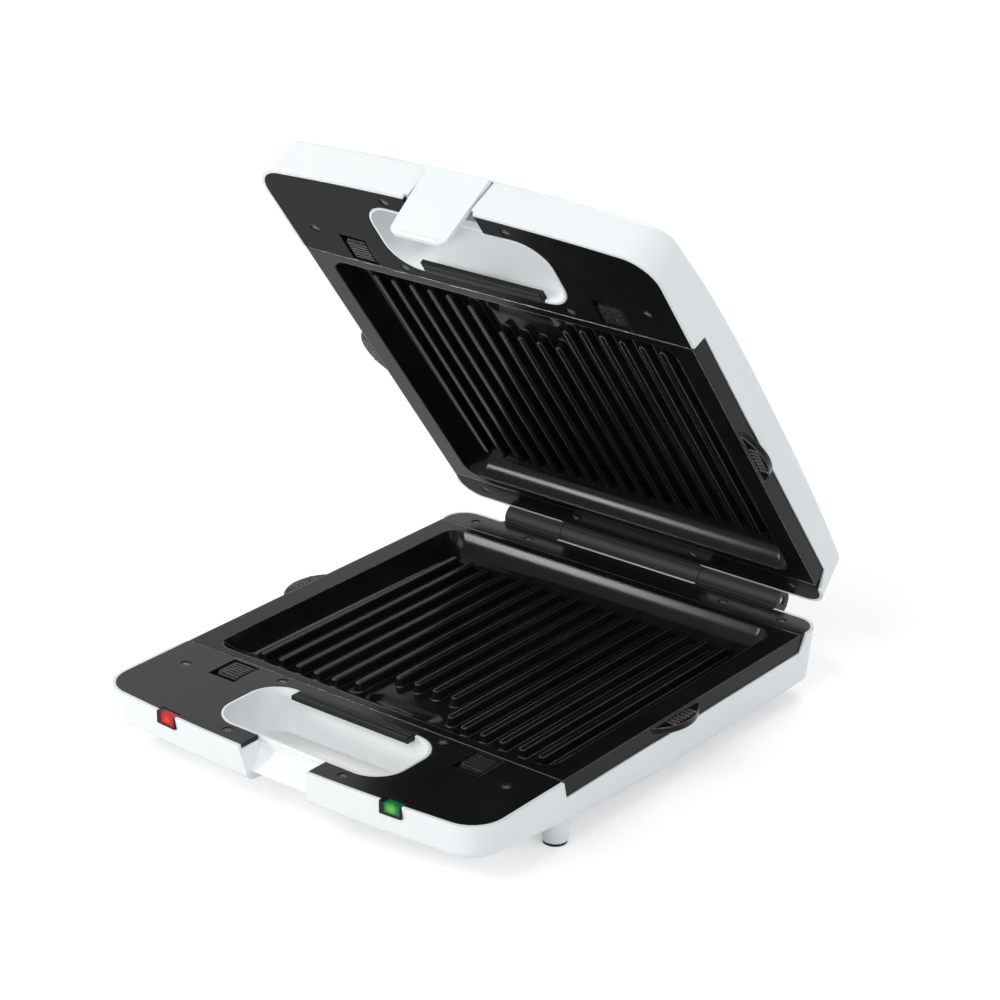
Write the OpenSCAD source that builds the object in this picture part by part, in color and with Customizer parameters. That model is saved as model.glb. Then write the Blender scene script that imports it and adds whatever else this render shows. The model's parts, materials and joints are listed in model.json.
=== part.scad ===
// Sandwich toaster with removable ribbed grill plates, lid standing open.
// Each half is drawn in deck coordinates: x = 0 in the middle, y = 0 at the front face
// of the housing, z = 0 on the parting plane, with the housing below it. The base is
// lifted on its feet, and the lid is the same half mirrored about the hinge and swung open.

/* [Housing] */
// Width of the housing at the parting plane
body_w = 254; // [240:0.5:290]
// Depth of the housing from the front face to the rear face
body_d = 308.5; // [290:0.5:350]
// Height of the parting plane above the table
deck_z = 40; // [38:0.5:60]
// Gap between the two parting planes when the lid is shut
lid_gap = 3; // [2:0.1:5]
// Opening angle of the lid, counted from shut
lid_open = 53; // [0:1:100]
// Wall of the housings
wall = 2.2; // [1.8:0.1:2.8]
// Plan radius of the front corners
corner_f = 20; // [14:0.5:26]
// Plan radius of the rear corners
corner_r = 14; // [10:0.5:18]
// How far the middle of the front bows out past its corners
front_bow = 5; // [0:0.5:7]
// Draft of the side walls over their height
draft = 2.5; // [1:0.1:4]
// Radius of the outer bottom edge, and of the lid's top edge
edge_r = 5; // [4:0.5:7]
// Depth of the base under the parting plane at its front
base_front_t = 20.5; // [19:0.5:23]
// Depth of the base beside its front legs
base_mid_t = 27.5; // [26:0.5:30]
// Depth of the base under the parting plane from its middle to its rear
base_rear_t = 32.5; // [31:0.5:35]
// Depth of the lid at its front
lid_front_t = 25.5; // [24.5:0.5:28]
// Depth of the lid at the top of its crown
lid_mid_t = 32; // [31:0.5:38]
// Depth of the lid at its rear
lid_rear_t = 28; // [27:0.5:31]

/* [Deck] */
// Width of the white rim that shows round the black deck
rim_w = 1.8; // [1.2:0.1:2.4]
// Thickness of the black deck
deck_t = 2.4; // [2:0.1:3]
// How far the side rims step down beside the grill plates
rim_drop = 10; // [9:0.5:11]
// Depth of the deck in front of the grill plate
deck_d = 72.6; // [68:0.1:78]
// Distance from a side face to the handle hole
grip_side = 70.5; // [68:0.5:78]
// Depth of the bar between the handle hole and the grill plate
bar_d = 8.6; // [8.4:0.1:10]
// Distance from the front face to the handle hole
hole_y = 17; // [17:0.5:18]
// Corner radius of the handle hole
hole_r = 16; // [10:0.5:20]
// Wall of the handle tunnel, which shows as a lip round the hole
tunnel_wall = 1.6; // [1.2:0.1:2]
// Radius of the screw heads
screw_r = 2.6; // [2:0.1:3]

/* [Grill plates] */
// Depth of the black bezel behind a plate
bezel_d = 19.7; // [19.4:0.1:23]
// Thickness of the plate's rim
plate_t = 2.6; // [2:0.1:3]
// Width of a plate's rim beside its pan
pan_side = 13.2; // [12.6:0.1:16]
// Width of a plate's rim in front of its pan
pan_front = 15.8; // [15:0.1:20]
// Width of a plate's rim behind its pan
pan_rear = 6.2; // [6:0.1:9]
// Depth of the pan's floor under the parting plane
pan_t = 12; // [11:0.1:12.3]
// Thickness of the pan's floor
floor_t = 2.8; // [2.4:0.1:3]
// Number of grill ribs
rib_n = 16; // [8:2:17]
// Distance from the pan's side to the outermost rib
rib_side = 18.25; // [17:0.25:24]
// Width of a rib's flat top
rib_w = 3.4; // [2:0.1:4]
// Height of the ribs above the pan's floor
rib_h = 5.2; // [3:0.1:6]

/* [Latch and buttons] */
// Width of the latch
latch_w = 39; // [36:0.5:40]
// Thickness of the latch
latch_t = 2.6; // [2:0.1:3]
// How far the latch reaches past the lid's parting plane
latch_drop = 21; // [20:0.1:21.5]
// Width of a release button's grip
button_w = 17.6; // [15:0.2:20]
// Length of a release button's grip
button_l = 16.2; // [14:0.2:16.4]
// Travel of a release button
button_travel = 4; // [2:0.5:4]
// Distance of a release button from the side face
button_side = 45.6; // [44:0.2:48]

/* [Hinge] */
// Radius of the hinge barrels
barrel_r = 6.5; // [6:0.1:6.8]
// Radius of the hinge rod
rod_r = 2.5; // [2:0.1:3]
// Running clearance between the rod and the lid's barrel
rod_fit = 0.05; // [0.02:0.01:0.1]
// Length of the row of barrels
hinge_len = 190; // [180:1:196]
// Left end of the lid's own barrel
barrel_left = -54.5; // [-60:0.5:-50]
// Right end of the lid's own barrel
barrel_right = 42.5; // [38:0.5:46]

/* [Feet] */
// Radius of a front leg where it leaves the housing
leg_r = 8.4; // [7.4:0.1:8.6]
// Radius of a leg's tip
leg_tip_r = 6.6; // [5:0.1:7]
// Thickness of the rubber foot pads
pad_t = 1.6; // [1:0.1:3]

/* [Hidden] */
$fn = 48;

white = [0.93, 0.95, 0.96];
black = [0.13, 0.13, 0.13];
nonstick = [0.09, 0.085, 0.08];
steel = [0.72, 0.73, 0.75];
gap = 0.3;                        // clearance between neighbours that move apart
half_w = body_w / 2;
hinge_y = body_d + 8;             // hinge axis behind the front face
hinge_z = lid_gap / 2;            // hinge axis above the base's parting plane
front_y = -(hinge_y + 15.5) / 2;  // puts the origin in the middle of the open toaster
plate_y = deck_d + 0.6;           // front edge of a grill plate
bezel_y = body_d - bezel_d;       // front edge of the rear bezel
plate_end = bezel_y - 0.6;        // rear edge of a grill plate
plate_mid = (plate_y + plate_end) / 2;
plate_w = body_w - 2 * rim_w;
pan_w = plate_w - 2 * pan_side;
pan_y = plate_y + pan_front;
pan_end = plate_end - pan_rear;
rib_pitch = (pan_w - 2 * rib_side) / (rib_n - 1);
rail_t = 2.4;                     // the rails that a plate's skirt stands on
under = rim_drop + rail_t;        // underside of those rails
hole_end = deck_d - bar_d;
hole_mid = (hole_y + hole_end) / 2;
hole_d = hole_end - hole_y;
hole_w = body_w - 2 * grip_side;
notch_d = hole_y - 4;             // depth of the latch notch in the front bar
notch_w = 45;
notch_foot_w = 37.4;
lens_w = 13;
lens_h = 7;
lens_x = half_w - 52.5;
strip_w = hole_w - 35;            // grip strip behind the handle hole
strip_y = hole_end - 5.5;
button_x = half_w - button_side;
button_y = deck_d - 1.4 - button_l / 2;
button_z = deck_t + gap;          // the button's slide runs under the deck
slide_w = button_w + 4;
slide_h = 4.6;
spring_r = 1.9;
spring_wire = 0.55;
stop_y = button_y - button_l / 2 - 2 - 8;
heater_r = 3.2;
heater_z = -(pan_t + floor_t + heater_r + 0.1);
tray_t = 0.8;
tray_z = heater_z - heater_r - tray_t;
tray_hw = pan_w / 2 - 1.4;
tray_y = pan_y - 1;
tray_end = pan_end + 1.4;
latch_pin_y = 6.2;
latch_pin_z = lid_front_t - 10.5; // above the lid's parting plane
latch_pin_r = 1.5;
latch_ear_r = 3.2;
lip_t = 2.4;                      // lip of the base's front bar that the hook catches under
hook_z = lip_t + 0.35;            // the hook's upper face under the base's parting plane
hook_h = 2.9;
web_y = hinge_y - barrel_r - 8;   // front of the hinge blocks' webs
web_t = 7;
block_slot = 0.3;                 // play round a hinge block in the rear wall
base_mid_y = deck_d + 11.4;       // where the base's underside changes its slope
base_level_y = body_d - 148.5;    // where the base's underside turns level
crown_y = body_d / 2 + 4;         // where the lid is deepest
gland_x = 62;
front_leg = [half_w - 11.5, base_mid_y - 3];
rear_leg = [half_w - 42, body_d - 36.5];
front_screws = [[38.5, 9.8], [hole_w / 2 - 2.85, hole_end + 4.1], [half_w - 20, deck_d - 21.3]];
base_screws = concat(front_screws, [for (x = [68, half_w - 20]) [x, bezel_y + 8.6]]);
lid_screws = concat(front_screws, [for (x = [41, half_w - 20]) [x, bezel_y + 8.6]]);
// screws in the underside, with the depth of what they bite in above
bottom_screws = [[half_w - 22, deck_d - 32.6, deck_t], [half_w - 8.5, plate_mid, under],
    [half_w - 8.5, body_d - 36, under]];

// ---- outlines and places --------------------------------------------------------------

function arc(c, r, a0, a1, n) =
    [for (i = [0:n]) let(a = a0 + (a1 - a0) * i / n) [c[0] + r * cos(a), c[1] + r * sin(a)]];

// how far the front edge lies behind its middle
function bow(x) = front_bow * pow(x / (half_w - corner_f), 2);

// plan of the housing drawn in by d, with a bowed front and four round corners
function plan(d) =
    let(rf = corner_f - d, rr = corner_r - d, hf = half_w - corner_f)
    concat(
        [for (i = [-5:5]) [hf * i / 6, d + bow(hf * i / 6)]],
        arc([hf, corner_f + front_bow], rf, -90, 0, 8),
        arc([half_w - corner_r, body_d - corner_r], rr, 0, 90, 6),
        arc([corner_r - half_w, body_d - corner_r], rr, 90, 180, 6),
        arc([-hf, corner_f + front_bow], rf, 180, 270, 8));

module slab(d, z0, z1) translate([0, 0, z0]) linear_extrude(z1 - z0) polygon(plan(d));

module box(x0, x1, y0, y1, z0, z1) translate([x0, y0, z0]) cube([x1 - x0, y1 - y0, z1 - z0]);

module both_sides() for (s = [0, 1]) mirror([s, 0, 0]) children();

module round_rect(w, d, r) {
    square([w - 2 * r, d], center = true);
    square([w, d - 2 * r], center = true);
    for (x = [-1, 1], y = [-1, 1]) translate([x * (w / 2 - r), y * (d / 2 - r)]) circle(r);
}

module obround(w, d) {
    square([w - d, d], center = true);
    for (s = [-1, 1]) translate([s * (w - d) / 2, 0]) circle(d / 2);
}

// a profile in the y-z plane, run across the toaster
module across(x0, x1, points)
    translate([x0, 0, 0]) rotate([90, 0, 90]) linear_extrude(x1 - x0) polygon(points);

module on_base() translate([0, front_y, deck_z]) children();

module on_lid()
    translate([0, front_y + hinge_y, deck_z + hinge_z]) rotate([-lid_open, 0, 0])
        translate([0, -hinge_y, lid_gap - hinge_z]) mirror([0, 0, 1]) children();

// ---- housings -------------------------------------------------------------------------

// the underside of the base falls in two slopes and then runs level: [y, depth]
base_line = [[corner_f + front_bow, base_front_t], [base_mid_y, base_mid_t],
    [base_level_y, base_rear_t], [body_d - corner_r, base_rear_t]];

// the lid's top is crowned from front to rear
function lid_depth(y) = y < crown_y
    ? lid_mid_t - (lid_mid_t - lid_front_t) * pow((crown_y - y) / (crown_y - corner_f - front_bow), 2.8)
    : lid_mid_t - (lid_mid_t - lid_rear_t) * pow((y - crown_y) / (body_d - corner_r - crown_y), 3);
lid_line = [for (k = [0:9]) let(y = corner_f + front_bow + (body_d - corner_r - corner_f - front_bow) * k / 9)
    [y, lid_depth(y)]];

// a tub drawn in by d: its plan at the parting plane, and rounded bottom edges that follow the
// line of [y, depth]. swell raises the middle of its bottom above its sides
module tub(d, top, line, swell) {
    e = edge_r - d;
    n = len(line) - 1;
    module ball(x, y, t) translate([x, y, e - t + d]) sphere(e, $fn = 16);
    module corner(r, x, y, t) translate([x, y, e - t + d]) rotate_extrude($fn = 32)
        translate([r - draft - e - d, 0]) circle(e, $fn = 16);
    hull() {
        slab(d, -0.2, top);
        both_sides() {
            corner(corner_f, half_w - corner_f, corner_f + front_bow, line[0][1]);
            corner(corner_r, half_w - corner_r, body_d - corner_r, line[n][1]);
            for (i = [1:n - 1]) ball(half_w - draft - edge_r, line[i][0], line[i][1]);
            for (x = [0, (half_w - corner_f) / 2]) ball(x, draft + edge_r + bow(x), line[0][1]);
            if (swell > 0) for (i = [0:n]) ball(half_w * 0.45, line[i][0], line[i][1] + swell);
        }
    }
}

function floor_z(p) = lookup(p[1], base_line);

module base_tub(d, top = 0) tub(d, top, base_line, 0);
module lid_tub(d, top = 0) tub(d, top, lid_line, 1.2);

module hole_prism(d, depth) translate([0, hole_mid, -depth])
    linear_extrude(depth + 1) round_rect(hole_w + 2 * d, hole_d + 2 * d, hole_r + d);

// the side rims' step beside a plate, with slanted ends
module rim_step() across(-half_w - 1, half_w + 1, [[deck_d - 0.8, 1], [deck_d - 0.6, 0],
    [deck_d + 2.9, -rim_drop], [plate_end - 1.5, -rim_drop], [plate_end + 4.4, 0], [plate_end + 4.6, 1]]);

// notch in the rear wall for a hinge block between x0 and x1
module hinge_notch(x0, x1)
    box(x0 - block_slot, x1 + block_slot, body_d - 8, body_d + 1, -deck_t - web_t - block_slot, 1);

// what both housings share: tunnel, rim step and screw bosses, with children() outside the tub
module housing(depth, is_lid) {
    module solid(d, top = 0) { if (is_lid) lid_tub(d, top); else base_tub(d, top); }
    screws = is_lid ? lid_screws : base_screws;
    difference() {
        union() {
            difference() {
                union() {
                    solid(0);
                    children();
                }
                solid(wall, 1);
            }
            intersection() {
                solid(0);
                union() {
                    hole_prism(tunnel_wall, depth);
                    box(-notch_w / 2 - wall, notch_w / 2 + wall, 0, hole_y, -depth, 0);
                    both_sides() for (p = screws) translate([p[0], p[1], -depth])
                        cylinder(r = 3.6, h = depth - deck_t);
                }
            }
        }
        translate([0, 0, 0.5]) hole_prism(0, depth + 1);
        rim_step();
        // seat of the black deck inside the rim, and the room for the rails under a plate
        slab(rim_w, -deck_t - 0.02, 1);
        intersection() {
            slab(rim_w, -under - 0.02, 1);
            box(-half_w, half_w, deck_d - 2.6, bezel_y + 2.6, -under - 0.02, 1);
        }
        both_sides() for (p = screws) translate([p[0], p[1], -deck_t - 9]) cylinder(r = 1.1, h = 10);
    }
    // lip round the handle hole, flush with the deck
    translate([0, hole_mid, -deck_t - 0.02]) linear_extrude(deck_t + 0.02) difference() {
        round_rect(hole_w + 2 * tunnel_wall, hole_d + 2 * tunnel_wall, hole_r + tunnel_wall);
        round_rect(hole_w, hole_d, hole_r);
        translate([0, hole_d / 2 - 1]) square([strip_w + 0.2, 8], center = true);
    }
}

// the latch notch, wider at the top, open at the front and at the bottom. Its back wall steps back
// under the lip that the hook catches, and slopes forward from there
module latch_notch() intersection() {
    low = -base_front_t - 2;
    y = notch_d + 1.8;
    translate([0, y + 1, 0]) rotate([90, 0, 0]) linear_extrude(y + 4)
        polygon([[-notch_w / 2, 1], [notch_w / 2, 1], [notch_foot_w / 2, low], [-notch_foot_w / 2, low]]);
    across(-notch_w, notch_w, [[-3, 1], [notch_d, 1], [notch_d, -lip_t], [y, -lip_t], [y, -hook_z - hook_h - 0.3],
        [notch_d - 6.5, 4.5 - base_front_t], [notch_d + 0.5, -base_front_t], [notch_d + 0.5, low], [-3, low]]);
}

module lens_place(s) translate([s * lens_x, bow(lens_x), 0])
    rotate([0, 0, s * atan(2 * bow(lens_x) / lens_x)]) children();

// moulded leg, rooted in the tub's bottom
module leg(p) {
    root = base_front_t;
    tip = deck_z - pad_t;
    translate([p[0], p[1], -tip]) cylinder(r1 = leg_tip_r, r2 = leg_r, h = tip - root);
}

module base_shell() color(white) on_base() difference() {
    union() {
        housing(base_rear_t + 2, false) both_sides() for (p = [front_leg, rear_leg]) leg(p);
        both_sides() for (p = bottom_screws) translate([p[0], p[1], 1.2 - floor_z(p)])
            cylinder(r = 3.6, h = floor_z(p) - p[2] - 1.24);
    }
    latch_notch();
    for (s = [-1, 1]) lens_place(s) box(-lens_w / 2 - 0.2, lens_w / 2 + 0.2, -3, 6, -lens_h - 0.2, 1);
    hinge_notch(-hinge_len / 2, barrel_left);
    hinge_notch(barrel_right, hinge_len / 2);
    // seat of the cord gland in the rear wall
    translate([gland_x, body_d - 8, -19]) rotate([-90, 0, 0]) cylinder(r = 5, h = 12);
    both_sides() for (p = bottom_screws) translate([p[0], p[1], -floor_z(p)]) {
        translate([0, 0, -2]) cylinder(r = 3, h = 3.6);
        cylinder(r = 1.3, h = base_rear_t);
    }
    // vents under the heater
    for (x = [-60:20:60], y = [pan_y + 41, pan_end - 67]) translate([x, y, -base_rear_t - 1]) linear_extrude(8) rotate(90)
        obround(44, 5);
}

module lid_shell() color(white) on_lid() difference() {
    housing(lid_mid_t + 3, true);
    // notch for the latch: the deck's bar is cut right through to the handle hole
    box(-notch_w / 2, notch_w / 2, -2, hole_y + 1, -0.02 - deck_t, 1);
    box(-latch_w / 2 - 0.6, latch_w / 2 + 0.6, -2, 10.5, wall - lid_front_t, 1);
    box(-latch_w / 2 - 0.6, latch_w / 2 + 0.6, -2, 4.4, -lid_front_t - 3, 1);
    translate([-26, latch_pin_y, -latch_pin_z]) rotate([0, 90, 0]) cylinder(r = latch_pin_r, h = 52);
    hinge_notch(barrel_left, barrel_right);
}

// ---- black decks ----------------------------------------------------------------------

module button_opening() box(-button_w / 2 - gap, button_w / 2 + gap,
    button_y - button_l / 2 - button_travel - 0.3, button_y + button_l / 2 + gap, -deck_t - 1, 1);

// runners under the deck that guide a release button, and the stop for its spring
module button_guides() {
    for (s = [0, 1]) mirror([s, 0, 0]) box(slide_w / 2 + gap, slide_w / 2 + gap + 1.6, stop_y - 1.6, deck_d - 2,
        -button_z - slide_h, -deck_t);
    box(-slide_w / 2 - gap, slide_w / 2 + gap, stop_y - 1.6, stop_y, -button_z - slide_h, -deck_t);
}

module frame(is_lid) difference() {
    union() {
        intersection() {
            slab(rim_w + 0.05, -deck_t, 0);
            union() {
                box(-half_w, half_w, 0, deck_d, -deck_t, 0);
                box(-half_w, half_w, bezel_y, body_d, -deck_t, 0);
            }
        }
        // steps down to the rails, and the rails that the plate's skirt stands on
        intersection() {
            slab(rim_w + 0.05, -under, 0);
            union() {
                box(-half_w, half_w, deck_d - 2.4, deck_d, -under, 0);
                box(-half_w, half_w, bezel_y, bezel_y + 2.4, -under, 0);
                difference() {
                    box(-half_w, half_w, deck_d - 2.4, bezel_y + 2.4, -under, -rim_drop);
                    box(-pan_w / 2 - 1, pan_w / 2 + 1, pan_y - 4.6, pan_end + 3, -under - 1, 0);
                }
            }
        }
        for (s = [-1, 1]) translate([s * button_x, 0, 0]) button_guides();
    }
    hole_prism(tunnel_wall + 0.5, deck_t + 1);
    translate([0, strip_y + 4, 0]) box(-strip_w / 2 - 0.1, strip_w / 2 + 0.1, -4, 4.1, -deck_t - 1, 1);
    box(-notch_w / 2, notch_w / 2, -1, hole_y, -deck_t - 1, 1);
    for (s = [-1, 1]) translate([s * button_x, 0, 0]) {
        button_opening();
        box(-slide_w / 2 + 4 - gap, slide_w / 2 - 4 + gap, deck_d - 3, deck_d + 1, -button_z - slide_h, -button_z + 0.1);
    }
    both_sides() for (p = is_lid ? lid_screws : base_screws) translate([p[0], p[1], 0]) {
        translate([0, 0, -1.4]) cylinder(r = screw_r + 0.3, h = 2);
        translate([0, 0, -deck_t - 1]) cylinder(r = 1.5, h = deck_t + 2);
    }
    if (!is_lid) {
        for (s = [-1, 1]) lens_place(s) box(-lens_w / 2 - 0.2, lens_w / 2 + 0.2, -3, 4.4, -deck_t - 1, 1);
        both_sides() for (p = bottom_screws) translate([p[0], p[1], -p[2] - 1]) cylinder(r = 1.3, h = 2.6);
    }
}

module base_frame() color(black) on_base() frame(false);
module lid_frame() color(black) on_lid() frame(true);

// two-ridged strip that lines the rear edge of the handle hole
module grip_strip() {
    box(-strip_w / 2, strip_w / 2, strip_y, strip_y + 8, -deck_t, 0);
    for (y = [1.4, 4.6]) translate([0, strip_y + y, 0]) rotate([0, 90, 0])
        translate([0, 0, -strip_w / 2 + 1]) cylinder(r = 0.9, h = strip_w - 2, $fn = 16);
}

module base_grip_strip() color(black) on_base() grip_strip();
module lid_grip_strip() color(black) on_lid() grip_strip();

module screw_head(p, z, r) translate([p[0], p[1], z]) {
    difference() {
        translate([0, 0, -1.2]) cylinder(r = r, h = 1);
        for (a = [0, 90]) rotate(a) translate([0, 0, 0.2]) cube([r * 1.3, 0.6, 1.2], center = true);
    }
    translate([0, 0, -8]) cylinder(r = 1.1, h = 6.9);
}

module base_frame_screws() color(steel) on_base() both_sides() for (p = base_screws) screw_head(p, -0.2, screw_r);
module lid_frame_screws() color(steel) on_lid() both_sides() for (p = lid_screws) screw_head(p, -0.2, screw_r);

// ---- grill plates ---------------------------------------------------------------------

// the pan drawn out by d: its wall rounds off into its floor
module pan(d, top) {
    module level(inset, z) translate([0, (pan_y + pan_end) / 2, z]) linear_extrude(0.1) round_rect(
        pan_w - 2 * inset + 2 * d, pan_end - pan_y - 2 * inset + 2 * d, 10 - inset / 2 + d, $fn = 32);
    hull() {
        level(0, top - 0.1);
        for (k = [[1.5, 0.33], [3.4, 0.62], [5.6, 0.84], [7.6, 0.955], [9.4, 1]]) level(k[0], -k[1] * (pan_t + d));
    }
}

// hollow with a round bottom in the pan's floor: len between its round ends, half-width w, depth t
module scoop(len, w, t) translate([0, 0, -pan_t]) intersection() {
    r = (w * w + t * t) / (2 * t);
    translate([0, 0, r - t]) {
        rotate([0, 90, 0]) cylinder(r = r, h = len, center = true);
        for (s = [-1, 1]) translate([s * len / 2, 0, 0]) sphere(r);
    }
    translate([0, 0, 0.2 - t]) cube([len + 3 * w, 3 * w, 2 * t], center = true);
}

// a grill rib: trapezoid bar with round ends
module rib(x, y0, y1) {
    foot = rib_w / 2 + 0.9;
    translate([x, 0, -pan_t - 0.1]) {
        translate([0, y1, 0]) rotate([90, 0, 0]) linear_extrude(y1 - y0)
            polygon([[-foot, 0], [foot, 0], [rib_w / 2, rib_h + 0.1], [-rib_w / 2, rib_h + 0.1]]);
        for (y = [y0, y1]) translate([0, y, 0]) cylinder(r1 = foot, r2 = rib_w / 2, h = rib_h + 0.1, $fn = 20);
    }
}

// the middle ribs start further back, behind the oval drain
function rib_start(i) = let(k = abs(i - (rib_n - 1) / 2)) pan_y + (k < 2 ? 32.6 : k < 3 ? 14 : 9.2);

// round tab at the side of a plate, with ridges for the finger
module grip_tab() {
    r = 27.8;
    y = plate_mid - 11.5;
    intersection() {
        translate([plate_w / 2 + 9 - r, y, -5]) cylinder(r = r, h = 3.6);
        box(plate_w / 2 - 1, plate_w / 2 + 10, plate_y, plate_end, -6, 0);
    }
    for (k = [-3:3]) box(plate_w / 2 + 1.6, plate_w / 2 + 6.6, y + k * 3 - 0.6, y + k * 3 + 0.6, -1.5, -0.7);
}

module plate() {
    difference() {
        union() {
            intersection() {
                slab(rim_w, -rim_drop, 0);
                difference() {
                    box(-half_w, half_w, plate_y, plate_end, -rim_drop, 0);
                    box(-plate_w / 2 + 2, plate_w / 2 - 2, plate_y + 2, plate_end - 2, -rim_drop - 1, -plate_t);
                }
            }
            pan(floor_t, -plate_t + 0.1);
            both_sides() grip_tab();
        }
        pan(0, 0.2);
        // long drip trough behind the ribs, and the oval drain in front of the middle ones
        translate([0, pan_end - 13.5, 0]) scoop(pan_w - 30, 4.6, 1.5);
        translate([0, pan_y + 14, 0]) scoop(33, 6.2, 1.7);
    }
    for (i = [0:rib_n - 1]) rib((i - (rib_n - 1) / 2) * rib_pitch, rib_start(i), pan_end - 21);
}

module lower_plate() color(nonstick) on_base() plate();
module upper_plate() color(nonstick) on_lid() plate();

// ---- release buttons ------------------------------------------------------------------

module button() {
    y0 = button_y - button_l / 2;
    y1 = button_y + button_l / 2;
    // ribbed grip with clipped front corners
    translate([0, 0, -button_z]) linear_extrude(button_z - 1) polygon([[-button_w / 2, y1], [-button_w / 2, y0 + 4],
        [-button_w / 2 + 3, y0], [button_w / 2 - 3, y0], [button_w / 2, y0 + 4], [button_w / 2, y1]]);
    for (k = [0:5]) box(-button_w / 2 + 2.4, button_w / 2 - 2.4, y0 + 2 + k * 2.3, y0 + 3.1 + k * 2.3, -1.1, -0.3);
    // slide under the deck, and the nose that holds the plate
    box(-slide_w / 2, slide_w / 2, y0 - 2, deck_d - 2.7, -button_z - slide_h, -button_z);
    box(-slide_w / 2 + 4, slide_w / 2 - 4, deck_d - 3, plate_y - gap, -button_z - slide_h + gap, -button_z - 1);
}

module lower_left_button() color(black) on_base() translate([-button_x, 0, 0]) button();
module lower_right_button() color(black) on_base() translate([button_x, 0, 0]) button();
module upper_left_button() color(black) on_lid() translate([-button_x, 0, 0]) button();
module upper_right_button() color(black) on_lid() translate([button_x, 0, 0]) button();

// a coil of wire along +Z as one unbroken tube of square section
module coil(r, wire, turns, length) {
    n = turns * 8;
    function ring(i) = let(a = i * 45, z = wire / 2 + (length - wire) * i / n) [for (k = [0:3])
        let(u = r - wire / 2 + wire / 2 * cos(90 * k), w = wire / 2 * sin(90 * k)) [u * cos(a), u * sin(a), z + w]];
    points = [for (i = [0:n]) each ring(i)];
    sides = [for (i = [0:n - 1], k = [0:3]) let(a = 4 * i + k, b = 4 * i + (k + 1) % 4) each
        [[a, a + 4, b], [b, a + 4, b + 4]]];
    ends = [[0, 1, 2], [0, 2, 3], [4 * n, 4 * n + 2, 4 * n + 1], [4 * n, 4 * n + 3, 4 * n + 2]];
    polyhedron(points, concat(sides, ends));
}

module button_spring() translate([0, stop_y, -button_z - slide_h / 2]) rotate([-90, 0, 0])
    coil(spring_r, spring_wire, 5, button_y - button_l / 2 - 2 - stop_y);

module lower_left_spring() color(steel) on_base() translate([-button_x, 0, 0]) button_spring();
module lower_right_spring() color(steel) on_base() translate([button_x, 0, 0]) button_spring();
module upper_left_spring() color(steel) on_lid() translate([-button_x, 0, 0]) button_spring();
module upper_right_spring() color(steel) on_lid() translate([button_x, 0, 0]) button_spring();

// ---- hinge ----------------------------------------------------------------------------

// barrel with the web that runs under the rear bezel; lid_gap / 2 lifts the axis off the deck
module hinge_block(x0, x1, bore_r) difference() {
    union() {
        translate([x0, hinge_y, hinge_z]) rotate([0, 90, 0]) cylinder(r = barrel_r, h = x1 - x0);
        across(x0, x1, [[web_y, -deck_t], [web_y, -deck_t - web_t], [hinge_y - 2, -deck_t - web_t],
            [hinge_y + barrel_r - 1, -3.2], [hinge_y, 0], [body_d - rim_w + 0.3, 0], [body_d - rim_w + 0.3, -deck_t]]);
    }
    translate([x0 - 1, hinge_y, hinge_z]) rotate([0, 90, 0]) cylinder(r = bore_r, h = x1 - x0 + 2);
}

module left_hinge_block() color(black) on_base() hinge_block(-hinge_len / 2, barrel_left - 0.15, rod_r);
module right_hinge_block() color(black) on_base() hinge_block(barrel_right + 0.15, hinge_len / 2, rod_r);
module lid_hinge_block() color(black) on_lid() hinge_block(barrel_left + 0.15, barrel_right - 0.15, rod_r + rod_fit);
module hinge_rod() color(steel) on_base() translate([-hinge_len / 2 + 1, hinge_y, hinge_z]) rotate([0, 90, 0])
    cylinder(r = rod_r, h = hinge_len - 2);

// ---- feet, lenses and small parts -----------------------------------------------------

module foot_pads() color(black) on_base() both_sides() for (p = [front_leg, rear_leg])
    translate([p[0], p[1], -deck_z]) cylinder(r = leg_tip_r - 0.3, h = pad_t);

module base_bottom_screws() color(steel) on_base() both_sides() for (p = bottom_screws)
    translate([p[0], p[1], 0.2 - floor_z(p)]) {
        difference() {
            cylinder(r = 2.8, h = 1.4);
            for (a = [0, 90]) rotate(a) cube([3.6, 0.7, 1.6], center = true);
        }
        translate([0, 0, 1.4]) cylinder(r = 1.3, h = floor_z(p) - p[2] - 0.2);
    }

// window lens with a light pipe that reaches back to its lamp
module lens() {
    box(-lens_w / 2, lens_w / 2, -0.3, 3.8, -lens_h, -0.2);
    box(-lens_w / 2 + 3, lens_w / 2 - 3, 3.8, 7, -lens_h + 0.6, -deck_t - 0.4);
}

module red_lens() color([0.85, 0.05, 0.05]) on_base() lens_place(-1) lens();
module green_lens() color([0.05, 0.7, 0.2]) on_base() lens_place(1) lens();

// neon lamps in clips behind the lenses
module indicator_lamps() color([0.9, 0.6, 0.4]) on_base() for (s = [-1, 1]) lens_place(s) {
    translate([0, 7.2, -deck_t - 2.4]) rotate([-90, 0, 0]) cylinder(r = 2, h = 11);
    box(-3.4, 3.4, 12, 15, -deck_t - 6, -deck_t);
}

// ---- heating --------------------------------------------------------------------------

heater_hw = tray_hw - 30.6;
heater_bend = 24;
heater_y0 = pan_y + 26;
heater_y1 = pan_end - 24;

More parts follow.
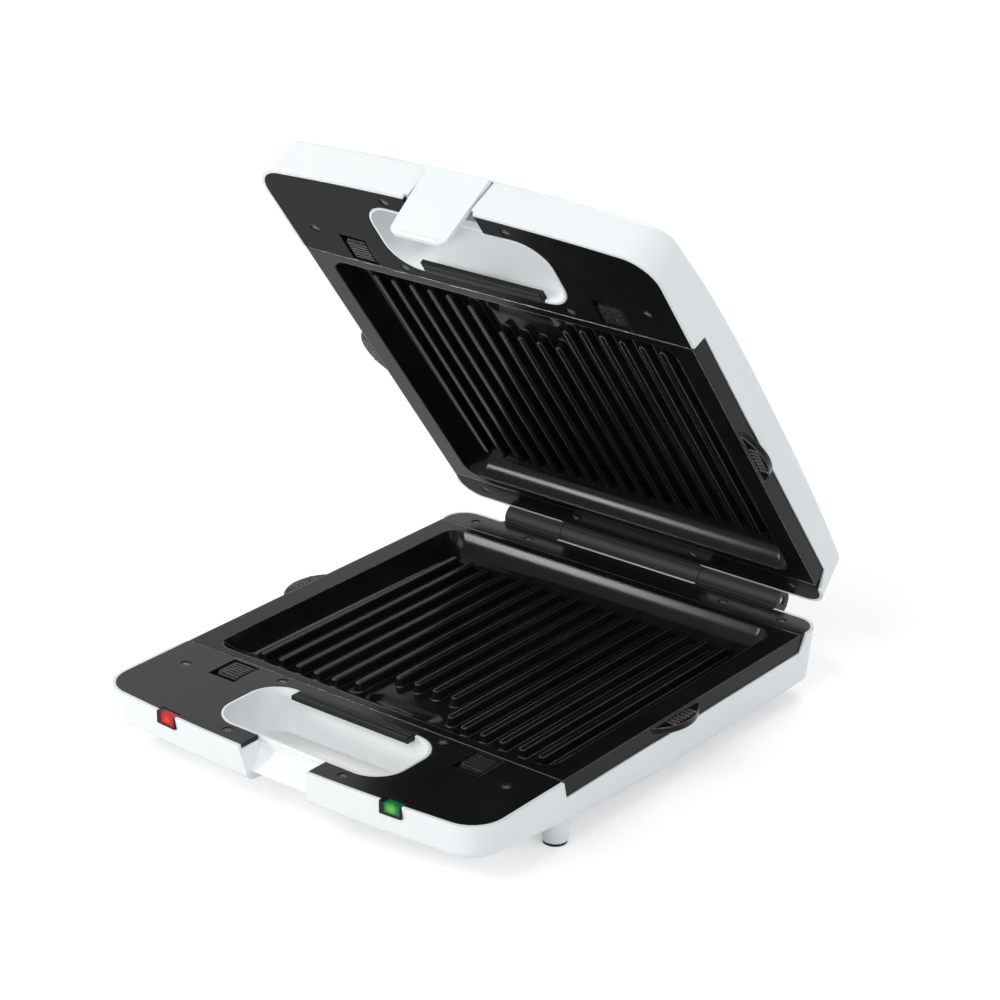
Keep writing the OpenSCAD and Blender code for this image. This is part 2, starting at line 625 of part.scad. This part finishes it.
// tubular element: a rounded loop, open at the rear where its two ends drop to the tray
module heater() {
    module run(x, y, len, a) translate([x, y, heater_z]) rotate([0, 90, a]) cylinder(r = heater_r, h = len);
    module bend(x, y, a) translate([x, y, heater_z]) rotate([0, 0, a]) rotate_extrude(angle = 90)
        translate([heater_bend, 0]) circle(heater_r);
    inner = heater_hw - heater_bend;
    both_sides() {
        run(0, heater_y0, inner, 0);
        bend(inner, heater_y0 + heater_bend, -90);
        run(heater_hw, heater_y0 + heater_bend, heater_y1 - heater_y0 - 2 * heater_bend, 90);
        bend(inner, heater_y1 - heater_bend, 0);
        run(12, heater_y1, inner - 12, 0);
        // cold ends
        translate([10, heater_y1, heater_z]) rotate([0, 90, 0]) cylinder(r = 1.6, h = 2.1);
    }
}

// thin tray that throws the heat up at the plate, hung under the frame's rails
module reflector() {
    module shape(d, z0, z1) translate([0, (tray_y + tray_end) / 2, z0]) linear_extrude(z1 - z0)
        round_rect(2 * tray_hw - 2 * d, tray_end - tray_y - 2 * d, 14 - d);
    difference() {
        union() {
            shape(0, tray_z, -under);
            shape(-4, -under - tray_t, -under);
        }
        shape(tray_t, tray_z + tray_t, 1);
        for (x = [-40, 40]) translate([x, (tray_y + tray_end) / 2, tray_z - 1]) cylinder(r = 4, h = 4);
    }
}

module heater_clips() both_sides() for (y = [heater_y0 + 40, heater_y1 - 40]) translate([heater_hw, y, 0])
    difference() {
        box(-heater_r - 4, heater_r + 4, -4, 4, tray_z + tray_t, heater_z + 1);
        translate([0, -5, heater_z]) rotate([-90, 0, 0]) cylinder(r = heater_r, h = 10);
        box(-heater_r, heater_r, -5, 5, heater_z, heater_z + 2);
    }

module lower_reflector() color(steel) on_base() reflector();
module upper_reflector() color(steel) on_lid() reflector();
module lower_heater() color([0.45, 0.42, 0.4]) on_base() heater();
module upper_heater() color([0.45, 0.42, 0.4]) on_lid() heater();
module lower_heater_clips() color([0.85, 0.83, 0.78]) on_base() heater_clips();
module upper_heater_clips() color([0.85, 0.83, 0.78]) on_lid() heater_clips();

// bimetal thermostat: disc on a flange, standing on the tray under the pan
module thermostat() color([0.8, 0.78, 0.7]) on_base() translate([0, (tray_y + tray_end) / 2, tray_z + tray_t]) {
    cylinder(r = 8.5, h = -(pan_t + floor_t) - tray_z - tray_t - 0.3);
    linear_extrude(0.8) obround(30, 9);
    for (s = [-1, 1]) translate([s * 5, 9.6, 0]) box(-1.2, 1.2, -3, 3, 0.8, 1.6);
}

// thermal fuse: capsule held down by a strap
module thermal_fuse() color([0.8, 0.78, 0.7]) on_lid() translate([0, (tray_y + tray_end) / 2, tray_z + tray_t]) {
    translate([-7, 0, 2]) rotate([0, 90, 0]) cylinder(r = 2, h = 14);
    box(-3, 3, -7, 7, 0, 0.8);
    box(-3, 3, -2, 2, 0.8, 3);
}

module terminal_block() color([0.9, 0.88, 0.8]) on_base() difference() {
    ways = 3;
    way_w = 10;
    block = [ways * way_w, 9, 11];
    x = gland_x - 10 - block[0];
    translate([x, bezel_y + 4, -base_rear_t + wall]) cube(block);
    for (k = [0:ways - 1]) translate([x + way_w * (k + 0.5), bezel_y + 4 + block[1] / 2, 5 + wall - base_rear_t])
        cylinder(r = 2.6, h = block[2]);
}

// rubber bush where the mains lead enters the rear wall
module cord_gland() color(black) on_base() translate([gland_x, 0, -19]) rotate([-90, 0, 0]) difference() {
    union() {
        translate([0, 0, body_d - 6]) cylinder(r = 5, h = 6);
        translate([0, 0, body_d - 0.6]) cylinder(r = 7, h = 2);
    }
    translate([0, 0, body_d - 8]) cylinder(r = 3.4, h = 12);
}

// ---- latch ----------------------------------------------------------------------------

// drawn for the shut lid in the lid's deck coordinates: its outer face is flush with the
// front, its ears hang on a pin, and its lower end hooks into the base
module latch() color(white) on_lid() {
    top = lid_front_t - 3.6;
    foot_hw = latch_w / 2 - 1.6;
    ear_x = latch_w / 2 - 6;
    difference() {
        union() {
            translate([0, latch_t + 0.4, 0]) rotate([90, 0, 0]) linear_extrude(latch_t) union() {
                polygon([[-latch_w / 2, -top], [latch_w / 2, -top], [foot_hw, latch_drop - 5],
                    [foot_hw - 5, latch_drop], [5 - foot_hw, latch_drop], [-foot_hw, latch_drop - 5]]);
                for (s = [-1, 1]) translate([s * (foot_hw - 5), latch_drop - 5]) circle(5);
            }
            // bead along its lower end
            translate([5 - foot_hw, 1.4, latch_drop - 1.5]) rotate([0, 90, 0]) cylinder(r = 1.4, h = 2 * foot_hw - 10);
            // hook, with its underside slanted to ride over the lip
            translate([0, 0, hook_z + lid_gap]) across(-9, 9, [[1, 0], [notch_d + 1.5, 0], [notch_d + 1.5, 0.8],
                [notch_d - 1.5, hook_h], [1, hook_h]]);
            for (s = [-1, 1]) translate([s * ear_x, 0, 0]) {
                translate([-2, latch_pin_y, -latch_pin_z]) rotate([0, 90, 0]) cylinder(r = latch_ear_r, h = 4);
                box(-2, 2, 1, latch_pin_y, -latch_pin_z - 1.6, -latch_pin_z + latch_ear_r);
            }
        }
        translate([-latch_w, latch_pin_y, -latch_pin_z]) rotate([0, 90, 0])
            cylinder(r = latch_pin_r + rod_fit, h = 2 * latch_w);
    }
}

module latch_pin() color(steel) on_lid() translate([-25, latch_pin_y, -latch_pin_z]) rotate([0, 90, 0])
    cylinder(r = latch_pin_r, h = 50);

// return spring wound round the pin between the ears
module latch_spring() color(steel) on_lid() translate([-5, latch_pin_y, -latch_pin_z]) rotate([0, 90, 0])
    coil(latch_pin_r + 0.9, 0.7, 6, 10);

base_shell();
base_frame();
base_grip_strip();
left_hinge_block();
right_hinge_block();
hinge_rod();
base_frame_screws();
base_bottom_screws();
foot_pads();
red_lens();
green_lens();
indicator_lamps();
lower_reflector();
lower_heater();
lower_heater_clips();
thermostat();
terminal_block();
cord_gland();
lower_left_spring();
lower_right_spring();
lower_plate();
lower_left_button();
lower_right_button();
lid_shell();
lid_frame();
lid_grip_strip();
lid_hinge_block();
lid_frame_screws();
upper_reflector();
upper_heater();
upper_heater_clips();
thermal_fuse();
upper_left_spring();
upper_right_spring();
upper_plate();
upper_left_button();
upper_right_button();
latch();
latch_pin();
latch_spring();
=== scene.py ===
import json
import math

import bpy
from mathutils import Matrix, Vector

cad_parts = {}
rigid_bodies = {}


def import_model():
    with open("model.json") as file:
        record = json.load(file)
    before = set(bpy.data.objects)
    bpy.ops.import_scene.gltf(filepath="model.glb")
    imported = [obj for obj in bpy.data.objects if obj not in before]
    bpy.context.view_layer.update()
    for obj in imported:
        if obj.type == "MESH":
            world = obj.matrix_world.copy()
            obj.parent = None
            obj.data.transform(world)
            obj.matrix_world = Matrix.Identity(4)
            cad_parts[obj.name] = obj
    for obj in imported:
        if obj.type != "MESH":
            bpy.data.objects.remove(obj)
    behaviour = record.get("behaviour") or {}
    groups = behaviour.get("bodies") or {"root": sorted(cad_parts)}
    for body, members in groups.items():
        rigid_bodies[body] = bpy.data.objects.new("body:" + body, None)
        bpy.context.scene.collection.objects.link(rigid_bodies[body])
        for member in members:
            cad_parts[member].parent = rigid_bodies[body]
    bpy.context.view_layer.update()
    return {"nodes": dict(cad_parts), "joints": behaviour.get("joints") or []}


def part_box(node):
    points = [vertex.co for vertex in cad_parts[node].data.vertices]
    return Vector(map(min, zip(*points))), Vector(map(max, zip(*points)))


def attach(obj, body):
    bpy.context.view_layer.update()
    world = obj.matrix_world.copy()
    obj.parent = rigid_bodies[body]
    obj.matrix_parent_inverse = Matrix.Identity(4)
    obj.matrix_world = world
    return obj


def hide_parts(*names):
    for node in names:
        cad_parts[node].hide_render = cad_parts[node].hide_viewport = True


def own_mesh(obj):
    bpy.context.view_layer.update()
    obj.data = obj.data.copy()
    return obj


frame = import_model()
scene = bpy.context.scene
scene.view_settings.view_transform = "Standard"

# ---- Camera -------------------------------------------------------------------------------
# A long lens from the front right and a little above, tilted by less than a degree, as in
# the photo. It looks at a point behind the handle, so the open lid stands in the frame.
azimuth, elevation, roll = math.radians(37.685), math.radians(22.804), math.radians(0.811)
stand = (0.86847, -1.10835, 0.71743)
film_width = 36
focal_share = 2.91231
towards_eye = Vector((math.sin(azimuth) * math.cos(elevation),
                      -math.cos(azimuth) * math.cos(elevation), math.sin(elevation)))
level = Vector((math.cos(azimuth), math.sin(azimuth), 0))
rise = towards_eye.cross(level)
right = level * math.cos(roll) + rise * math.sin(roll)
up = rise * math.cos(roll) - level * math.sin(roll)
lens = bpy.data.cameras.new("view")
lens.sensor_width = film_width
lens.lens = film_width * focal_share
lens.clip_end = 30
eye = bpy.data.objects.new("view", lens)
turn = Matrix((right, up, towards_eye)).transposed().to_4x4()
eye.matrix_world = Matrix.Translation(stand) @ turn
scene.collection.objects.link(eye)
scene.camera = eye


# ---- Housings -----------------------------------------------------------------------------
# Two injection-moulded shells of white ABS, the base on four legs and the crowned lid, and
# the latch moulded from the same plastic. The skin is a fine satin with a faint flow of the
# melt in its gloss, and edges that hands have dulled a little.
class Value:
    """What a shader socket carries; sums and products of it add Math nodes to its shading."""

    def __init__(self, shading, socket):
        self.shading, self.socket = shading, socket

    def combine(self, operation, first, second):
        return self.shading.node("ShaderNodeMath", {"operation": operation}, {0: first, 1: second})

    def __add__(self, other): return self.combine("ADD", self, other)
    def __radd__(self, other): return self.combine("ADD", other, self)
    def __sub__(self, other): return self.combine("SUBTRACT", self, other)
    def __rsub__(self, other): return self.combine("SUBTRACT", other, self)
    def __mul__(self, other): return self.combine("MULTIPLY", self, other)
    def __rmul__(self, other): return self.combine("MULTIPLY", other, self)
    def __pow__(self, other): return self.combine("POWER", self, other)
    def __or__(self, other): return self.combine("MAXIMUM", self, other)


class Shading:
    """The nodes of one material, or of the studio's surround."""

    def __init__(self, tree):
        self.tree = tree

    def node(self, kind, settings, inputs, out=0):
        """Adds a node: first its settings, then a value or a link for each of its sockets."""
        made = self.tree.nodes.new(kind)
        for name, value in settings.items():
            if name == "stops":
                ramp = made.color_ramp.elements
                while len(ramp) < len(value):
                    ramp.new(1)
                for stop, (position, shade) in zip(ramp, value):
                    stop.position, stop.color = position, (*shade, 1)
            else:
                setattr(made, name, value)
        for name, value in inputs.items():
            if isinstance(value, Value):
                self.tree.links.new(value.socket, made.inputs[name])
            else:
                made.inputs[name].default_value = value
        return Value(self, made.outputs[out])


class Finish(Shading):
    """A material of one Principled shader, whose constants are given by the sockets' names."""

    def __init__(self, name, **constants):
        self.material = bpy.data.materials.new(name)
        self.material.use_nodes = True
        super().__init__(self.material.node_tree)
        self.shader = self.tree.nodes["Principled BSDF"]
        for socket, value in constants.items():
            self.shader.inputs[socket.replace("_", " ")].default_value = value
        self.place = self.node("ShaderNodeTexCoord", {}, {}, "Object")

    def noise(self, scale, detail=3, rough=0.55, place=None):
        """Noise with a number of grains to the metre."""
        return self.node("ShaderNodeTexNoise", {}, {"Vector": place or self.place, "Scale": scale,
                         "Detail": detail, "Roughness": rough}, "Fac")

    def spread(self, value, low, high):
        """Stretches the part of a value between low and high to the whole of 0 to 1."""
        return self.node("ShaderNodeMapRange", {"clamp": True},
                         {"Value": value, "From Min": low, "From Max": high}, "Result")

    def blend(self, share, one, other):
        """Mixes two colours, each a Value or plain red, green and blue."""
        one, other = (c if isinstance(c, Value) else (*c, 1) for c in (one, other))
        return self.node("ShaderNodeMix", {"data_type": "RGBA"}, {0: share, 6: one, 7: other}, 2)

    def rounded(self, radius):
        """The surface's normal with its sharp edges rounded off."""
        return self.node("ShaderNodeBevel", {"samples": 6}, {"Radius": radius}, "Normal")

    def edges(self, radius):
        """1 along sharp edges, 0 away from them."""
        face = self.node("ShaderNodeNewGeometry", {}, {}, "Normal")
        agreement = self.node("ShaderNodeVectorMath", {"operation": "DOT_PRODUCT"},
                              {0: self.rounded(radius), 1: face}, "Value")
        return self.spread(1 - agreement, 0.02, 0.22)

    def feed(self, socket, value):
        self.tree.links.new(value.socket, self.shader.inputs[socket])

    def relief(self, height, depth, rounding):
        """Feeds a bump of a depth in metres, on top of rounded edges."""
        bump = self.node("ShaderNodeBump", {}, {"Height": height, "Distance": depth,
                         "Strength": 1, "Normal": self.rounded(rounding)}, "Normal")
        self.feed("Normal", bump)


def dress(finish, *pieces):
    """Gives pieces, or CAD nodes by name, a finish, smooth over curves and sharp at edges."""
    seam, sharp, flat_share = 0.00002, math.radians(30), 80
    for piece in pieces:
        if isinstance(piece, str):
            piece = frame["nodes"][piece]
        piece.data.materials.clear()
        piece.data.materials.append(finish.material)
        piece.data.shade_smooth()
        if "custom_normal" in piece.data.attributes:
            piece.data.attributes.remove(piece.data.attributes["custom_normal"])
        piece.modifiers.new("weld", "WELD").merge_threshold = seam
        piece.modifiers.new("crease", "EDGE_SPLIT").split_angle = sharp
        piece.modifiers.new("flats", "WEIGHTED_NORMAL").weight = flat_share


white = Finish("moulded_white", IOR=1.53, Coat_Weight=0.12, Coat_Roughness=0.12)
flow = white.noise(14, 2)
grain = white.noise(2600, 2)
handled = white.edges(0.0012) * white.spread(white.noise(160, 4), 0.42, 0.7)
shade = white.blend(white.spread(flow, 0.3, 0.7), (0.80, 0.83, 0.835), (0.835, 0.86, 0.865))
white.feed("Base Color", white.blend(handled * 0.35, shade, (0.62, 0.61, 0.57)))
white.feed("Roughness", 0.27 + flow * 0.08 + grain * 0.05 + handled * 0.2)
white.relief(grain * 0.8 + white.noise(90, 2) * 0.2, 0.00002, 0.0006)
dress(white, "base_shell", "lid_shell", "latch")


# ---- Decks --------------------------------------------------------------------------------
# Black satin frames screwed into both housings. They carry the grill plates on their rails,
# guide the release buttons and show the row of small black screws.
def deck_finish(name, gloss):
    """The lid's deck gets less gloss, because it faces the pale floor in front of it."""
    deck = Finish(name, IOR=1.5, Specular_IOR_Level=gloss)
    fine = deck.noise(2200, 2)
    cloud = deck.noise(22, 3)
    # Lighter along the edges: partly wear, partly a painted highlight on the edges.
    rub_and_sheen = deck.edges(0.0008) * deck.spread(deck.noise(240, 4), 0.45, 0.7)
    shade = deck.blend(deck.spread(cloud, 0.35, 0.7),
                       (0.006, 0.006, 0.0065), (0.010, 0.010, 0.0105))
    deck.feed("Base Color", deck.blend(rub_and_sheen * 0.5, shade, (0.05, 0.05, 0.05)))
    deck.feed("Roughness", 0.14 + cloud * 0.06 + fine * 0.05)
    deck.relief(fine, 0.000008, 0.0004)
    return deck


dress(deck_finish("deck_black", 0.2), "base_frame")
dress(deck_finish("lid_deck_black", 0.03), "lid_frame")

# ---- Screws -------------------------------------------------------------------------------
# Small blackened cross-head screws, sunk in the decks, and those that close the underside.
# Bare steel shows through here and there along the edges of their slots and heads, partly as wear
# and partly as a painted highlight round them.
screw = Finish("blackened_screw", Metallic=0.8, IOR=1.6)
turned = screw.noise(1800, 3)
# Bare steel along the edges: partly wear, partly a painted highlight.
wear_and_glint = screw.edges(0.0005) * screw.spread(turned, 0.25, 0.5)
screw.feed("Base Color", screw.blend(wear_and_glint, (0.030, 0.030, 0.031), (0.42, 0.41, 0.40)))
screw.feed("Roughness", 0.30 + turned * 0.25)
screw.relief(turned, 0.00002, 0.0002)
dress(screw, "base_frame_screws", "lid_frame_screws", "base_bottom_screws")

# ---- Grip strips and foot pads ------------------------------------------------------------
# Soft black rubber: a two-ridged strip along the rear edge of each handle hole, where the
# fingers close, and a thin pad glued under each leg.
rubber = Finish("black_rubber", IOR=1.45, Specular_IOR_Level=0.25)
bloom = rubber.noise(60, 4)
pores = rubber.noise(3000, 2)
rubber.feed("Base Color", rubber.blend(rubber.spread(bloom, 0.4, 0.75),
                                       (0.006, 0.006, 0.006), (0.014, 0.0135, 0.013)))
rubber.feed("Roughness", 0.34 + bloom * 0.16)
rubber.relief(pores, 0.00002, 0.0004)
dress(rubber, "base_grip_strip", "lid_grip_strip", "foot_pads")

# ---- Release buttons ----------------------------------------------------------------------
# Black sliders with ribbed thumb grips. Pushed to the front against its spring, each draws
# its nose back from the skirt of a grill plate.
slider = Finish("slider_black", IOR=1.5, Specular_IOR_Level=0.3)
grit = slider.noise(1500, 3)
# The edges are smoother and painted lighter: a painted highlight along the ridges of the grips.
polish_and_highlight = slider.edges(0.0005)
slider.feed("Base Color", slider.blend(polish_and_highlight * 0.6,
                                       (0.009, 0.009, 0.0095), (0.06, 0.06, 0.061)))
slider.feed("Roughness", 0.22 + grit * 0.10 - polish_and_highlight * 0.06)
slider.relief(grit, 0.00003, 0.0003)
dress(slider, "lower_left_button", "lower_right_button", "upper_left_button",
      "upper_right_button")

# ---- Hinge --------------------------------------------------------------------------------
# Three barrels on one rod: the outer two have webs under the base's rear bezel, and the
# middle one under the lid's. They and the gland in the rear wall are moulded in black with a
# dull, even grain, and the rod is of plated steel, as are the latch's pin and spring.
barrel = Finish("barrel_black", IOR=1.5, Specular_IOR_Level=0.35)
grit = barrel.noise(1100, 3)
barrel.feed("Base Color", barrel.blend(barrel.edges(0.0006) * 0.5,
                                       (0.014, 0.014, 0.015), (0.05, 0.05, 0.05)))
barrel.feed("Roughness", 0.48 + grit * 0.14)
barrel.relief(grit, 0.00004, 0.001)
dress(barrel, "left_hinge_block", "right_hinge_block", "lid_hinge_block", "cord_gland")

plated = Finish("plated_steel", Metallic=1.0)
drawn = plated.noise(900, 3)
plated.feed("Base Color", plated.blend(plated.spread(drawn, 0.35, 0.7),
                                       (0.60, 0.60, 0.62), (0.74, 0.74, 0.75)))
plated.feed("Roughness", 0.22 + drawn * 0.15)
plated.relief(drawn, 0.00001, 0.0001)
dress(plated, "hinge_rod", "latch_pin", "latch_spring")


# ---- Release springs ----------------------------------------------------------------------
# A short coil of plated wire in front of each release button, held at its front end by a stop
# under the deck. It is 8 mm long and keeps its shape here; the real one closes to half that when
# the button comes forward.
def stand_in(node, ending, body):
    """A copy of a CAD node that takes its place, so that its shape may change."""
    piece = frame["nodes"][node].copy()
    piece.data = piece.data.copy()
    piece.name = f"{node}_{ending}"
    scene.collection.objects.link(piece)
    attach(piece, body)
    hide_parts(node)
    return piece


for slide in frame["joints"]:
    if slide["name"].endswith("_button_slide"):
        spring = slide["name"].replace("button_slide", "spring")
        coil = stand_in(spring, "coil", slide["parent"])
        dress(plated, coil)
        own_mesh(coil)

# ---- Grill plates -------------------------------------------------------------------------
# Die-cast aluminium under a glossy non-stick coat, sprayed on and baked. The pan's front wall
# runs down in a long soft ramp, so that fat flows past the drain and the ends of the ribs.
coat = Finish("nonstick_coat", IOR=1.5, Specular_IOR_Level=0.11)
peel = coat.noise(700, 2)
speck = coat.noise(2400, 2)
film = coat.noise(30, 4)
# Pale bare metal along the edges: partly wear of the coat, partly a painted sheen where rib ends
# and edges catch the light.
wear_and_sheen = coat.edges(0.0014) * (0.55 + coat.spread(coat.noise(300, 4), 0.35, 0.65) * 0.45)
shade = coat.blend(coat.spread(film, 0.3, 0.75), (0.006, 0.0055, 0.005), (0.011, 0.0095, 0.008))
coat.feed("Base Color", coat.blend(wear_and_sheen, shade, (0.15, 0.143, 0.135)))
coat.feed("Metallic", wear_and_sheen)
coat.feed("Roughness", 0.10 + film * 0.06 + speck * 0.05)
coat.relief(peel * 0.7 + speck * 0.3, 0.00002, 0.0016)

# For the ramp each plate is laid ribs up with its rim at height 0: the lower one is let down,
# and the upper one is closed with the lid and then mirrored across the gap.
lower_low, lower_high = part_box("lower_plate")
hinge = next(joint for joint in frame["joints"] if joint["name"] == "lid_hinge")
axis = Vector(hinge["pos_m"])
half_gap = axis.z - lower_high.z
closing = (Matrix.Rotation(math.radians(-hinge["range_deg"][0]), 4, "X")
           @ Matrix.Translation(-axis))
let_down = Matrix.Translation((0, 0, -lower_high.z))
turned_over = Matrix.Translation((0, axis.y, half_gap)) @ Matrix.Diagonal((1, 1, -1, 1)) @ closing

rim, thickness, pan_depth, ramp_run = 0.0158, 0.0028, 0.012, 0.010
pan_front = lower_low.y + rim
pan_side, corner_start = 0.1155, 0.099  # to the left or right of the middle
wall_start, wall_end, corner_end = -0.0032, 0.006, 0.015  # to the rear of the pan's front
for plate, laid_flat in (("lower_plate", let_down), ("upper_plate", turned_over)):
    grill = stand_in(plate, "ramped", plate)
    back = laid_flat.inverted()
    for point in grill.data.vertices:
        spot = laid_flat @ point.co
        facing_up = (laid_flat.to_3x3() @ point.normal).z > 0
        depth = -spot.z - (0 if facing_up else thickness)
        aside, beyond = abs(spot.x), spot.y - pan_front
        end = corner_end if aside > corner_start else wall_end
        if aside < pan_side and wall_start < beyond < end:
            spot.y -= ramp_run * min(1, max(0, 1 - depth / pan_depth))
            point.co = back @ spot
    dress(coat, grill)


# ---- Indicator lights ---------------------------------------------------------------------
# A red and a green window of clear tinted plastic in the front edge of the base, each with
# a light pipe to a small neon lamp behind it, which lights the middle of the window.
def window(name, node, tint, glow):
    """The tint is painted dark at both sides and low down, a painted shade of the window's recess,
    and round the lamp it glows.
    """
    low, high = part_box(node)
    wide, tall = high.x - low.x, high.z - low.z
    lit = Finish(name, IOR=1.49, Specular_IOR_Level=0.2, Emission_Strength=0.45)
    x, z = (lit.node("ShaderNodeSeparateXYZ", {}, {"Vector": lit.place}, way) for way in "XZ")
    # clear marks where the window is free of the painted shade of its recess.
    clear = (lit.spread(x, low.x + wide * 0.20, low.x + wide * 0.30)
             * lit.spread(x, high.x - wide * 0.02, high.x - wide * 0.10)
             * lit.spread(z, low.z + tall * 0.16, low.z + tall * 0.34))
    lamp = (low.x + wide * 0.56, low.y, low.z + tall * 0.6)
    apart = lit.node("ShaderNodeVectorMath", {"operation": "DISTANCE"},
                     {0: lit.place, 1: lamp}, "Value")
    near = (1 - lit.spread(apart, 0.0005, 0.0045)) * clear
    ripple = lit.noise(500, 2)
    # The colour of the painted shade.
    painted_shade = tuple(part * 0.06 for part in tint)
    lit.feed("Base Color", lit.blend(clear, painted_shade, tint))
    lit.feed("Emission Color", lit.blend(near ** 1.4 * (0.7 + ripple * 0.6), painted_shade, glow))
    lit.feed("Roughness", 0.10 + ripple * 0.12)
    lit.relief(ripple, 0.00002, 0.0004)
    dress(lit, node)


window("red_window", "red_lens", (0.40, 0.003, 0.006), (0.95, 0.06, 0.05))
window("green_window", "green_lens", (0.003, 0.15, 0.050), (0.42, 0.90, 0.05))

bulb = Finish("lamp_glass", IOR=1.45, Emission_Strength=0.4)
film = bulb.noise(900, 2)
bulb.feed("Base Color", bulb.blend(film, (0.75, 0.42, 0.25), (0.85, 0.55, 0.35)))
bulb.feed("Emission Color", bulb.blend(film, (0.8, 0.25, 0.08), (0.9, 0.4, 0.12)))
bulb.feed("Roughness", 0.12 + film * 0.1)
bulb.relief(film, 0.00001, 0.0002)
dress(bulb, "indicator_lamps")

# ---- Heating ------------------------------------------------------------------------------
# A tubular element under each plate, its steel sheath straw and blue from heat, lies in
# ceramic saddles on a tray of bright rolled aluminium.
sheath = Finish("heater_sheath", Metallic=1.0)
heat = sheath.noise(35, 3)
scale = sheath.noise(1200, 4)
temper = [(0.3, (0.20, 0.17, 0.15)), (0.5, (0.34, 0.26, 0.17)),
          (0.62, (0.22, 0.18, 0.22)), (0.75, (0.16, 0.19, 0.25))]
tempered = sheath.node("ShaderNodeValToRGB", {"stops": temper}, {"Fac": heat}, "Color")
sheath.feed("Base Color", sheath.blend(scale * 0.4, tempered, (0.10, 0.09, 0.08)))
sheath.feed("Roughness", 0.38 + scale * 0.25)
sheath.relief(scale, 0.00002, 0.0002)
dress(sheath, "lower_heater", "upper_heater")

tray = Finish("rolled_aluminium", Metallic=1.0)
along = tray.node("ShaderNodeMapping", {}, {"Vector": tray.place, "Scale": (1500, 12, 1500)})
rolled = tray.noise(1, 3, 0.5, along)
stain = tray.spread(tray.noise(18, 4), 0.5, 0.75)
tray.feed("Base Color", tray.blend(stain * 0.5, (0.70, 0.70, 0.71), (0.48, 0.42, 0.33)))
tray.feed("Roughness", 0.24 + rolled * 0.16 + stain * 0.15)
tray.relief(rolled, 0.00001, 0.0003)
dress(tray, "lower_reflector", "upper_reflector")

fired = Finish("fired_ceramic", IOR=1.5)
pores = fired.noise(1600, 4)
dusty = fired.spread(fired.noise(40, 3), 0.4, 0.7)
fired.feed("Base Color", fired.blend(dusty, (0.74, 0.71, 0.63), (0.60, 0.55, 0.47)))
fired.feed("Roughness", 0.55 + pores * 0.2)
fired.relief(pores, 0.00005, 0.0003)
dress(fired, "lower_heater_clips", "upper_heater_clips", "thermostat", "thermal_fuse",
      "terminal_block")


# ---- Studio -------------------------------------------------------------------------------
# A pale floor under a plain white surround. A small low lamp at the front left lights up the
# drip troughs and throws the shadows in the handle holes, and three large soft ones in front,
# at the right and behind keep the walls and the decks readable.
def ray(shading, kind):
    """1 for one kind of ray, 0 for all others."""
    return shading.node("ShaderNodeLightPath", {}, {}, f"Is {kind} Ray")


surround = bpy.data.worlds.new("surround")
scene.world = surround
surround.use_nodes = True
sky = Shading(surround.node_tree)
sky.tree.nodes.clear()
in_view = ray(sky, "Camera") | ray(sky, "Glossy") | ray(sky, "Transmission")
shown = sky.node("ShaderNodeBackground", {}, {"Color": (1, 1, 1, 1)})
ambient = sky.node("ShaderNodeBackground", {}, {"Color": (0.95, 0.98, 1, 1), "Strength": 0.42})
choice = sky.node("ShaderNodeMixShader", {}, {0: in_view, 1: ambient, 2: shown})
outlet = sky.tree.nodes.new("ShaderNodeOutputWorld")
sky.tree.links.new(choice.socket, outlet.inputs["Surface"])

reach = 6
ground = bpy.data.meshes.new("floor")
ground.from_pydata([(-reach, -reach, 0), (reach, -reach, 0), (reach, reach, 0),
                    (-reach, reach, 0)], [], [(0, 1, 2, 3)])
floor = bpy.data.objects.new("floor", ground)
scene.collection.objects.link(floor)
paper = Finish("floor_paper", Roughness=0.9, Emission_Strength=1)
fibre = paper.noise(40, 3)
paper.feed("Base Color", paper.blend(fibre, (0.82, 0.82, 0.82), (0.84, 0.84, 0.84)))
away = paper.node("ShaderNodeVectorMath", {"operation": "LENGTH"}, {0: paper.place}, "Value")
lift = paper.blend(paper.spread(away, 0.7, 2.6), (0.36, 0.36, 0.36), (0.75, 0.75, 0.75))
paper.feed("Emission Color", paper.blend(ray(paper, "Camera") | ray(paper, "Glossy"),
                                         (0, 0, 0), lift))
ground.materials.append(paper.material)


def softbox(name, place, aim, size, power, tint):
    light = bpy.data.lights.new(name, "AREA")
    light.shape = "RECTANGLE"
    light.size, light.size_y = size
    light.energy, light.color = power, tint
    lamp = bpy.data.objects.new(name, light)
    lamp.location = place
    lamp.rotation_euler = (Vector(aim) - Vector(place)).to_track_quat("-Z", "Y").to_euler()
    scene.collection.objects.link(lamp)


softbox("key", (-1.45, -1.95, 0.62), (0, 0, 0.1), (0.34, 0.34), 17, (1, 0.99, 0.98))
softbox("front", (-0.2, -2.0, 1.9), (0, 0, 0.1), (1.6, 1.1), 30, (1, 1, 1))
softbox("side", (2.2, -0.3, 1.2), (0, 0, 0.15), (0.9, 1.2), 14, (0.94, 0.97, 1))
softbox("rear", (-0.6, 1.8, 2.0), (0, 0, 0.1), (1.4, 1.0), 16, (1, 1, 1))
